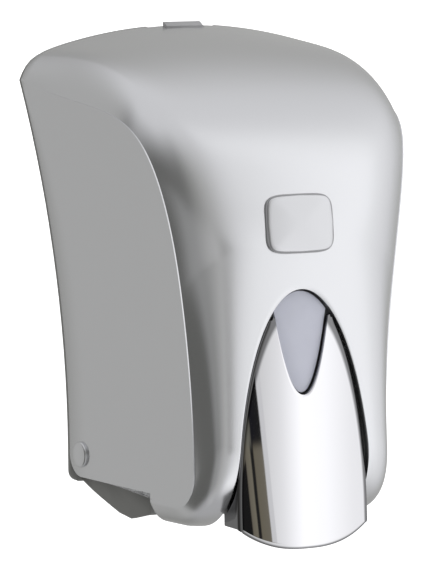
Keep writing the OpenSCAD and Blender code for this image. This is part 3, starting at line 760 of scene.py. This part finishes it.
class Paint(Nodes):
    """A material with one principled shader, whose constants are set on its own sockets."""

    def __init__(self, name, **constants):
        self.material = bpy.data.materials.new(name)
        self.material.use_nodes = True
        super().__init__(self.material.node_tree)
        self.shader = next(n for n in self.tree.nodes if n.type == "BSDF_PRINCIPLED")
        for key, value in constants.items():
            self.feed(key.replace("_", " ").title().replace("Ior", "IOR"), value)
        self.object = self.node("ShaderNodeTexCoord", output="Object")

    def feed(self, socket, value):
        """Set or link a socket of the shader."""
        self.plug(self.shader.inputs[socket], value)

    def grain(self, scale, detail=2.0, stretch=(1, 1, 1), roughness=0.5):
        """Noise in the object's own space, as a value from 0 to 1."""
        where = self.node("ShaderNodeMapping", None, {"Vector": self.object, "Scale": stretch})
        return self.node(
            "ShaderNodeTexNoise",
            None,
            {"Vector": where, "Scale": scale, "Detail": detail, "Roughness": roughness},
        )

    def bump(self, height, strength, distance):
        """Relief on the surface from a height."""
        relief = {"Height": height, "Strength": strength, "Distance": distance}
        self.feed("Normal", self.node("ShaderNodeBump", None, relief))


def shade(colour, factor):
    """A colour made lighter or darker."""
    return tuple(min(c * factor, 1.0) for c in colour[:3])


def silver_paint(colours):
    """Satin metal paint with fine flakes and a soft mottle."""
    paint = Paint("silver_paint", metallic=0.86, coat_weight=0.12, coat_roughness=0.2)
    flakes = paint.grain(6500, 1)
    mottle = paint.grain(45, 3)
    dark, light = (shade(colours.silver, factor) for factor in (0.94, 1.06))
    paint.feed("Base Color", paint.blend(flakes, dark, light))
    paint.feed("Roughness", 0.19 + mottle * 0.03 + flakes * 0.02)
    paint.bump(flakes, 0.06, 0.00004)
    return paint.material


def chrome_plate(colours, form):
    """Bright plating with the faintest smears, darkened along the lever's sides and lower edge as painted dark
    reflection and shade.
    """
    paint = Paint("chrome_plate", metallic=1.0)
    x, _, z = paint.parts(paint.object)
    s, arch = form.s, form.cover.s
    out = paint.math("ABSOLUTE", x) * (1 / form.half)
    up = paint.math("MAXIMUM", (z - arch.arch_middle) * (1 / form.rise), 0.0)
    sag = paint.math("POWER", out, form.sag_power) * (s.turn_height - s.low)
    # painted dark reflection: a band along the sides of the arch
    side = paint.between(out * out + up * up, 0.83, 0.90)
    # painted shade: a thin line along the lower edge
    lower = paint.between(z - s.low - sag, 0.0012, 0.0004)
    edge = paint.math("MAXIMUM", side, lower)
    # the painted dark reflection and shade take the plating down to 27 percent of its colour
    paint.feed("Base Color", paint.blend(edge, colours.chrome, shade(colours.chrome, 0.27)))
    smear = paint.grain(60, 4, (1, 1, 0.4))
    ripple = paint.grain(22, 1)
    paint.feed("Roughness", 0.01 + smear * 0.015)
    paint.bump(ripple, 0.05, 0.0004)
    return paint.material


def moulded_plastic(name, colour, roughness, grain_scale=2600, relief=0.12, **constants):
    """Moulded plastic with a fine eroded grain and slight colour drift."""
    paint = Paint(name, **constants)
    drift = paint.grain(55, 3)
    texture = paint.grain(grain_scale, 3)
    paint.feed("Base Color", paint.blend(drift, shade(colour, 0.93), shade(colour, 1.07)))
    paint.feed("Roughness", roughness - 0.04 + drift * 0.04 + texture * 0.06)
    paint.bump(texture, relief, 0.00005)
    return paint.material


def frosted_window(colours):
    """Frosted plastic with a faint cloud in it, and painted shade, near black, where it runs behind the lever."""
    paint = Paint(
        "frosted_window", coat_weight=0.35, coat_roughness=0.22, subsurface_weight=0.15,
        subsurface_radius=(0.002, 0.002, 0.0025),
    )
    cloud = paint.grain(130, 2)
    frost = paint.grain(5200, 2)
    clear = paint.blend(cloud, shade(colours.window, 0.96), shade(colours.window, 1.05))
    _, y, z = paint.parts(paint.object)
    # painted shade: where the window runs behind the lever it is darkened to near black
    behind = {"Value": y - z * 0.04, "From Min": -0.1065, "From Max": -0.1057}
    deep = paint.node("ShaderNodeMapRange", None, behind)
    paint.feed("Base Color", paint.blend(deep, clear, (0.12, 0.12, 0.13)))
    paint.feed("Roughness", 0.36 + frost * 0.08)
    paint.bump(frost, 0.08, 0.00003)
    return paint.material


def badge_face(colours):
    """Clear resin over a plain silver ground."""
    paint = Paint("badge_resin", metallic=0.35, coat_weight=1.0, coat_roughness=0.03)
    ground = paint.grain(9000, 1)
    dark, light = (shade(colours.badge, factor) for factor in (0.96, 1.03))
    paint.feed("Base Color", paint.blend(ground, dark, light))
    paint.feed("Roughness", 0.2 + ground * 0.08)
    return paint.material


def turned_steel(name, colours, stretch, scale=900):
    """Steel with fine tool marks along one direction."""
    paint = Paint(name, metallic=1.0)
    marks = paint.grain(scale, 3, stretch)
    dark, light = (shade(colours.steel, factor) for factor in (0.85, 1.12))
    paint.feed("Base Color", paint.blend(marks, dark, light))
    paint.feed("Roughness", 0.26 + marks * 0.16)
    paint.bump(marks, 0.1, 0.00003)
    return paint.material


def tank_plastic(colours):
    """Translucent tank plastic with flow lines."""
    paint = Paint(
        "tank_plastic", transmission_weight=0.35, ior=1.5, coat_weight=0.1, coat_roughness=0.2
    )
    flow = paint.grain(38, 3, (1, 1, 0.25))
    skin = paint.grain(2200, 2)
    dark, light = (shade(colours.tank, factor) for factor in (0.95, 1.04))
    paint.feed("Base Color", paint.blend(flow, dark, light))
    paint.feed("Roughness", 0.28 + flow * 0.08 + skin * 0.04)
    paint.bump(skin, 0.08, 0.00004)
    return paint.material


# the finish of each of the record's slots
FINISH_OF_SLOT = {
    "cover_silver": "silver_paint",
    "latch_silver": "latch_plastic",
    "chrome": "chrome_plate",
    "base_grey": "base_plastic",
    "window": "frosted_window",
    "badge_dark": "badge_rim",
    "badge_face": "badge_resin",
    "steel": "turned_steel",
    "spring_steel": "spring_wire",
    "tank": "tank_plastic",
    "lid_grey": "lid_plastic",
    "pump_white": "pump_plastic",
    "rubber": "seal_rubber",
    "mesh": "mesh_plastic",
}


def finishes(context):
    """Every finish by the record's slot, made once."""
    scene = context.scene
    if "silver_paint" not in bpy.data.materials:
        c = scene.dispenser_colours
        silver_paint(c)
        chrome_plate(c, LeverForm(scene.dispenser_lever, CoverForm(scene.dispenser_cover)))
        moulded_plastic("base_plastic", c.base, 0.46)
        # painted shadow: the plate is dark grey so that its thin rim round the dome shows as the shadowed gap
        # round the badge
        moulded_plastic("badge_rim", (0.32, 0.32, 0.33), 0.25, coat_weight=0.5)
        # painted shade: the latch, silver like the cover, is made a darker grey so that its face reads as shaded
        moulded_plastic("latch_plastic", (0.38, 0.38, 0.385), 0.42)
        moulded_plastic("lid_plastic", (0.62, 0.64, 0.66), 0.42)
        moulded_plastic(
            "pump_plastic", c.pump, 0.3, 3200, 0.06, coat_weight=0.2, coat_roughness=0.15
        )
        moulded_plastic("seal_rubber", (0.025, 0.025, 0.026), 0.7, 1500, 0.25)
        moulded_plastic("mesh_plastic", (0.6, 0.6, 0.6), 0.5, 4200, 0.4)
        frosted_window(c)
        badge_face(c)
        turned_steel("turned_steel", c, (8, 1, 1))
        turned_steel("spring_wire", c, (1, 1, 6), 1500)
        tank_plastic(c)
    return {slot: bpy.data.materials[name] for slot, name in FINISH_OF_SLOT.items()}


def slot_of(node):
    """The record's material slot of a node."""
    return next(s["material_slot"] for s in frame["record"]["subparts"] if s["node"] == node)


def body_of(node):
    """The body that a node rides on."""
    bodies = frame["record"]["behaviour"]["bodies"]
    return next(body for body, nodes in bodies.items() if node in nodes)


# Pieces


class DISPENSER_OT_front_cover(bpy.types.Operator):
    """Model the silver cover with its creased sides, cut-out, latch notch and hinge bosses"""

    bl_idname = "dispenser.front_cover"
    bl_label = "Front Cover"

    # the lugs of the lever shaft: place across, half thickness, set back behind the front,
    # reach behind the shaft, and reach below and above it
    lug_place, lug_half, lug_back, lug_behind = 0.0235, 0.0015, 0.0026, 0.005
    lug_below, lug_above = 0.005, 0.006
    # two corners of the rib that the latch holds
    rib = (-0.006, -0.0115, 0.0978), (0.006, -0.009, 0.1074)
    # thickness and edge rounding of the hinge bosses
    boss_thick, boss_soft = 0.002, 0.0007

    def execute(self, context):
        s = context.scene.dispenser_cover
        form = CoverForm(s)
        cover = closed_half("front_cover_piece", form.rows(), CoverForm(s, s.wall).rows(), s.rim)
        for wide, deep in ((s.notch_width, s.notch_depth), (s.slot_width, s.slot_depth)):
            low = (-wide / 2, -deep, s.top_height - 0.02)
            high = (wide / 2, 0.01, s.top_height + 0.01)
            carve(cover, block("notch_tool", low, high))
        for way in (-1, 1):
            join(cover, self.boss(s, form, way))
        for way in (-1, 1):
            join(cover, self.lug(context.scene.dispenser_lever, form, way))
        join(cover, block("latch_rib", *self.rib, 0.0004))
        paint = finishes(context)["cover_silver"]
        finish_piece(cover, "cover", "front_cover", paint, 28)
        return {"FINISHED"}

    def boss(self, s, form, way):
        """A round boss with a soft edge, square to the side panel."""
        deselect()
        bpy.ops.mesh.primitive_cylinder_add(
            vertices=96, radius=s.boss, depth=self.boss_thick, rotation=(0, math.radians(90), 0)
        )
        boss = take("hinge_boss")
        bevel_edges(boss, sharper_than(60), self.boss_soft, 5)
        out = way * (s.boss_rise - self.boss_thick / 2)
        boss.data.transform(Matrix.Translation((out, 0, 0)))
        boss.data.transform(Matrix.Rotation(-way * math.atan(s.side_taper), 4, "Z"))
        out = way * form.side(s.hinge_depth, s.hinge_height)
        boss.data.transform(Matrix.Translation((out, -s.hinge_depth, s.hinge_height)))
        return boss

    def lug(self, lever, form, way):
        """A lug behind the front that holds one end of the lever shaft."""
        x, z = way * self.lug_place, lever.shaft_height
        low = (x - self.lug_half, -(form.front(z) - self.lug_back), z - self.lug_below)
        high = (x + self.lug_half, -(lever.shaft_depth - self.lug_behind), z + self.lug_above)
        return block("lug", low, high, 0.0005)


class DISPENSER_OT_push_lever(bpy.types.Operator):
    """Model the chrome lever with its notch, flanges, ears and lifting arms"""

    bl_idname = "dispenser.push_lever"
    bl_label = "Push Lever"

    # rounding of the rims, and how far ears and arms start behind the face
    rim, behind = 0.0006, 0.0011
    # inner and outer side of the ears and of the arms
    ear_sides, arm_sides = (0.014, 0.017), (0.0165, 0.0201)
    # depth and height of the pump's cross pin, its radius and the play under it
    pump, lift, lift_radius, play = 0.072, -0.070, 0.002, 0.00082
    # slope of the arms' upper side, and how far it runs behind and before the pump's axis
    slope, arm_rear, arm_front = 0.33, 0.0026, 0.015

    def execute(self, context):
        cover = CoverForm(context.scene.dispenser_cover)
        s = context.scene.dispenser_lever
        form = LeverForm(s, cover)
        inner = LeverForm(s, cover, s.wall)
        lever = closed_half("push_lever_piece", form.rows(), inner.rows(), self.rim)
        for way in (-1, 1):
            join(lever, self.ear(s, form, way), self.arm(form, way))
        finish_piece(lever, "lever", "push_lever", finishes(context)["chrome"], 32)
        return {"FINISHED"}

    def ear(self, s, form, way):
        """A flat ear that the shaft runs through."""
        d, z = s.shaft_depth, s.shaft_height
        face = form.face(self.ear_sides[0], z) - self.behind
        outline = [
            (d - 0.0045, z - 0.002), (d - 0.002, z - 0.005), (d + 0.004, z - 0.012),
            (face, z - 0.012), (face, z - 0.006), (d + 0.004, z + 0.0034), (d - 0.003, z + 0.0034),
        ]
        return slab("lever_ear", outline, *sorted(way * side for side in self.ear_sides))

    def arm(self, form, way):
        """An arm whose sloping upper side lifts the pump's cross pin."""
        ramp = self.lift - self.lift_radius - self.play
        face = form.face(self.arm_sides[0], self.lift) - self.behind
        rear, front = self.pump - self.arm_rear, self.pump + self.arm_front
        high, low = ramp + self.slope * self.arm_front, self.lift - 0.0085
        outline = [
            (rear, ramp - self.slope * self.arm_rear), (front, high), (face, high + 0.003),
            (face, low), (rear, low),
        ]
        return slab("lever_arm", outline, *sorted(way * side for side in self.arm_sides))


class DISPENSER_OT_badge(bpy.types.Operator):
    """Model the bare badge: a plate, dark grey as painted shadow round its rim, under a silver dome of clear resin
    """

    bl_idname = "dispenser.badge"
    bl_label = "Badge"

    # how far the dome stands inside the plate's outline, and the power that squares its outline
    inset, square = 0.0006, 0.21
    # height of the dome's straight edge, and height and share of the round over it
    edge, round_rise, round_share = 0.0003, 0.0005, 0.045
    # height kept for edge and round, and rings of the crown over them
    kept, rings = 0.0009, 14

    def execute(self, context):
        s = context.scene.dispenser_badge
        paints = finishes(context)
        plate = merged_copy("badge_plate", 0.0002)
        finish_piece(plate, "cover", "badge_plate", paints["badge_dark"])
        dome = self.dome(s, CoverForm(context.scene.dispenser_cover), self.profile(s))
        finish_piece(dome, "cover", "badge_dome", paints["badge_face"], 50)
        return {"FINISHED"}

    def profile(self, s):
        """Shares of the outline and rises over the cover, from the dome's back to its crown."""
        foot = s.plate + self.edge
        places = [(0, s.plate), (1, s.plate), (1, foot)]
        for i in range(1, 6):
            a = math.radians(15 * i)
            share = 1 - self.round_share * (1 - math.cos(a))
            places.append((share, foot + self.round_rise * math.sin(a)))
        share, rise = places[-1]
        for i in range(1, self.rings + 1):
            left = 1 - i / self.rings
            places.append((share * left, rise + (s.rise - self.kept) * (1 - left**2.2)))
        return places

    def dome(self, s, cover, profile):
        """Rings of a bulged square, from shares of its outline and rises over the cover."""
        base = cover.depth(s.middle)
        drop = cover.depth(s.middle - s.height / 2) - cover.depth(s.middle + s.height / 2)
        lean = math.atan(drop / s.height)
        rows = []
        for share, rise in profile:
            row = []
            for i in range(97):
                a = 2 * math.pi * i / 96
                across, up = (
                    math.copysign(abs(v) ** self.square, v) for v in (math.cos(a), math.sin(a))
                )
                x = (s.width / 2 - self.inset) * across * (1 - s.bow * up * up) * share
                z = (s.height / 2 - self.inset) * up * (1 - s.bow * across * across) * share
                d = base + rise * math.cos(lean) - z * math.sin(lean)
                row.append((x, -d, s.middle + z * math.cos(lean) + rise * math.sin(lean)))
            rows.append(row)
        obj = sheet("badge_dome_piece", rows)
        clean(obj, REACH / 2)
        return obj


class DISPENSER_OT_moulded_pieces(bpy.types.Operator):
    """Round the edges of the moulded pieces and give them their finish"""

    bl_idname = "dispenser.moulded_pieces"
    bl_label = "Moulded Pieces"

    rounding = {
        "wall_base": 0.0004, "latch_button": 0.0007, "level_window": 0.0004, "soap_tank": 0.0009,
        "tank_lid": 0.0006, "pump_bracket": 0.0004, "pump_collar": 0.0003, "pump_cylinder": 0.0002,
        "cylinder_cap": 0.0003, "foam_nozzle": 0.0004, "pump_piston": 0.0002,
        "bracket_screws": 0.0003, "window_screws": 0.0002, "hinge_pins": 0.0002,
        "lever_shaft": 0.0002,
    }

    def execute(self, context):
        paints = finishes(context)
        for node, width in self.rounding.items():
            piece = merged_copy(node, width)
            slot = slot_of(node)
            finish_piece(piece, body_of(node), node, paints[slot])
        return {"FINISHED"}


class DISPENSER_OT_small_solids(bpy.types.Operator):
    """Copy the squeezed springs into pieces of their own, and paint the pieces that keep their solids"""

    bl_idname = "dispenser.small_solids"
    bl_label = "Small Solids"

    def execute(self, context):
        paints = finishes(context)
        for joint in frame["joints"]:
            for soft in joint.get("deforming_nodes", []):
                self.spring(joint, soft["node"], soft["fixed_end_z_m"], paints)
        for node, solid in frame["nodes"].items():
            if not solid.hide_render:
                solid.data.materials.clear()
                solid.data.materials.append(paints[slot_of(node)])
        return {"FINISHED"}

    def spring(self, joint, node, fixed_end, paints):
        """A spring copied into a piece of its own, with a mesh of its own."""
        piece = merged_copy(node, 0)
        slot = slot_of(node)
        finish_piece(piece, body_of(node), node, paints[slot])
        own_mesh(piece)


class DISPENSER_OT_stage(bpy.types.Operator):
    """Set the pale floor, the soft studio light and the camera"""

    bl_idname = "dispenser.stage"
    bl_label = "Stage"

    # reach of the floor, reach and height of the wall round it, and the glow of each
    floor_reach, wall_reach, wall_height = 40, 6, 20
    floor_glow, wall_glow = 0.62, 1.0
    # how far the camera stands to the left of and above the line to its target
    left, above = 0.00012, 0.00624
    # light from below, from the bench under the part and from the ceiling
    deep_light, bench_light = (0.60, 0.60, 0.61), (0.9, 0.9, 0.91)
    ceiling_light = (0.97, 0.97, 0.99)
    # brightness round the part, by degrees from the front
    ring = [
        (-180, 0.36), (-148, 0.64), (-134, 0.62), (-120, 0.15), (-60, 0.14), (-40, 0.17),
        (-20, 0.42), (0, 0.66), (10, 0.86), (19, 1.18), (26, 1.64), (34, 1.58), (44, 1.32),
        (80, 1.04), (120, 0.56), (180, 0.36),
    ]
    # dark and brown strips that the lever mirrors, by degrees across their slant
    streak_ends = (-20, 14)
    streaks = [
        (-20, (0.02, 0.02, 0.02)), (3.4, (0.015, 0.015, 0.015)), (3.7, (0.20, 0.18, 0.14)),
        (5.1, (0.24, 0.22, 0.17)), (5.4, (0.02, 0.02, 0.02)), (6.1, (0.02, 0.02, 0.02)),
        (6.4, (0.20, 0.18, 0.135)), (9.2, (0.22, 0.20, 0.16)), (9.5, (0.86, 0.86, 0.88)),
        (14, (0.92, 0.92, 0.94)),
    ]
    upper_streaks = [
        (-20, (0.20, 0.195, 0.17)), (5.0, (0.20, 0.195, 0.165)), (5.8, (0.15, 0.145, 0.12)),
        (6.1, (0.015, 0.015, 0.02)), (9.2, (0.02, 0.02, 0.02)), (9.5, (0.86, 0.86, 0.88)),
        (14, (0.92, 0.92, 0.94)),
    ]

    def execute(self, context):
        s = context.scene.dispenser_stage
        self.floor(s)
        self.studio(context.scene, s)
        self.camera(context.scene, s)
        context.scene.view_settings.view_transform = "Standard"
        return {"FINISHED"}

    def floor(self, s):
        """A wide floor and a far wall round it, near white, that cast no light on the pieces."""
        deselect()
        bpy.ops.mesh.primitive_circle_add(
            vertices=96, radius=self.floor_reach, fill_type="NGON", location=(0, 0, s.floor)
        )
        floor = take("floor")
        deselect()
        bpy.ops.mesh.primitive_cylinder_add(
            vertices=96, radius=self.wall_reach, depth=self.wall_height, end_fill_type="NOTHING",
            location=(0, 0, s.floor + self.wall_height / 2),
        )
        wall = take("backdrop")
        wall.visible_shadow = False
        wall.visible_transmission = False
        for piece, glow in ((floor, self.floor_glow), (wall, self.wall_glow)):
            name = "pale_" + piece.name
            pale = Paint(name, roughness=0.9, emission_color=(1, 1, 1), emission_strength=glow)
            drift = pale.grain(3, 2)
            pale.feed("Base Color", pale.blend(drift, (0.9, 0.9, 0.9), (0.92, 0.92, 0.92)))
            piece.data.materials.append(pale.material)
            piece.visible_glossy = False
            piece.visible_diffuse = False

    def studio(self, scene, s):
        """A soft box, a dark card, a ceiling and a bench, drawn on the world by angle."""
        world = bpy.data.worlds.new("studio")
        world.use_nodes = True
        scene.world = world
        background = next(n for n in world.node_tree.nodes if n.type == "BACKGROUND")
        air = Nodes(world.node_tree)
        between = air.between
        x, y, z = air.parts(air.node("ShaderNodeTexCoord", output="Generated"))
        degrees = 180 / math.pi
        turn = air.math("ARCTAN2", x, 0 - y) * degrees
        rise = air.math("ARCSINE", z) * degrees
        leaned = turn - between(rise, -4, 14) * 5 - between(rise, 14, 44) * 5
        tints = [(angle, (v, v, v * (0.93 + 0.09 * min(v, 1)))) for angle, v in self.ring]
        light = air.ramp(leaned, -180, 180, tints)
        light = air.blend(between(rise, -76, -46), self.deep_light, light)
        bench = between(rise, 2, -2) * between(turn, -75, -50) * between(turn, 12, -8) * 0.36
        light = air.blend(bench, light, self.bench_light)
        flank = between(turn, -20, -60) * between(turn, -125, -95)
        high = rise + flank * 11 - between(turn, 5, 25) * 9
        light = air.blend(between(high, 18, 68), light, self.ceiling_light)
        slant = turn + rise * 1.7 + 2.6
        lower = air.ramp(slant, *self.streak_ends, self.streaks)
        upper = air.ramp(slant, *self.streak_ends, self.upper_streaks)
        strips = air.blend(between(rise, -3.6, -3.4), lower, upper)
        patch = (
            between(rise, -7, -6) * between(rise, -1.7, -2.1)
            * between(slant, 11.0, 10.8) * between(slant, -6, -3)
        )
        air.plug(background.inputs["Color"], air.blend(patch, light, strips))
        background.inputs["Strength"].default_value = s.light

    def camera(self, scene, s):
        """A camera at the photograph's angle, with a little roll."""
        a, e, roll = (math.radians(v) for v in (s.azimuth, s.elevation, s.roll))
        back = Vector((math.sin(a) * math.cos(e), -math.cos(a) * math.cos(e), math.sin(e)))
        across = Vector((math.cos(a), math.sin(a), 0))
        up = back.cross(across)
        target = Vector((0, -s.target_depth, 0))
        eye = target + back * s.distance - across * self.left + up * self.above
        right = across * math.cos(roll) + up * math.sin(roll)
        top = up * math.cos(roll) - across * math.sin(roll)
        turn = Matrix((right, top, back)).transposed().to_4x4()
        lens = bpy.data.cameras.new("camera")
        lens.sensor_fit = "VERTICAL"
        lens.sensor_height = 36
        lens.lens = s.lens
        lens.clip_start = 0.05
        camera = bpy.data.objects.new("camera", lens)
        camera.matrix_world = Matrix.Translation(eye) @ turn
        scene.collection.objects.link(camera)
        scene.camera = camera


class DISPENSER_PT_looks(bpy.types.Panel):
    """Sizes, colours and steps of the dispenser"""

    bl_idname = "DISPENSER_PT_looks"
    bl_label = "Foam Dispenser"
    bl_space_type = "VIEW_3D"
    bl_region_type = "UI"
    bl_category = "Dispenser"

    def draw(self, context):
        for group in groups:
            box = self.layout.box()
            box.label(text=group.__doc__)
            for name in group.__annotations__:
                box.prop(getattr(context.scene, groups[group]), name)
        for step in steps:
            self.layout.operator(step.bl_idname)


groups = {
    DispenserCover: "dispenser_cover",
    DispenserLever: "dispenser_lever",
    DispenserBadge: "dispenser_badge",
    DispenserColours: "dispenser_colours",
    DispenserStage: "dispenser_stage",
}
steps = (
    DISPENSER_OT_front_cover,
    DISPENSER_OT_push_lever,
    DISPENSER_OT_badge,
    DISPENSER_OT_moulded_pieces,
    DISPENSER_OT_small_solids,
    DISPENSER_OT_stage,
)


def register():
    for group, name in groups.items():
        bpy.utils.register_class(group)
        setattr(bpy.types.Scene, name, bpy.props.PointerProperty(type=group))
    for kind in (*steps, DISPENSER_PT_looks):
        bpy.utils.register_class(kind)


def unregister():
    for kind in reversed((*steps, DISPENSER_PT_looks)):
        bpy.utils.unregister_class(kind)
    for group, name in groups.items():
        delattr(bpy.types.Scene, name)
        bpy.utils.unregister_class(group)


def main():
    register()
    bpy.ops.dispenser.front_cover()
    bpy.ops.dispenser.push_lever()
    bpy.ops.dispenser.badge()
    bpy.ops.dispenser.moulded_pieces()
    bpy.ops.dispenser.small_solids()
    bpy.ops.dispenser.stage()


if __name__ == "__main__":
    main()
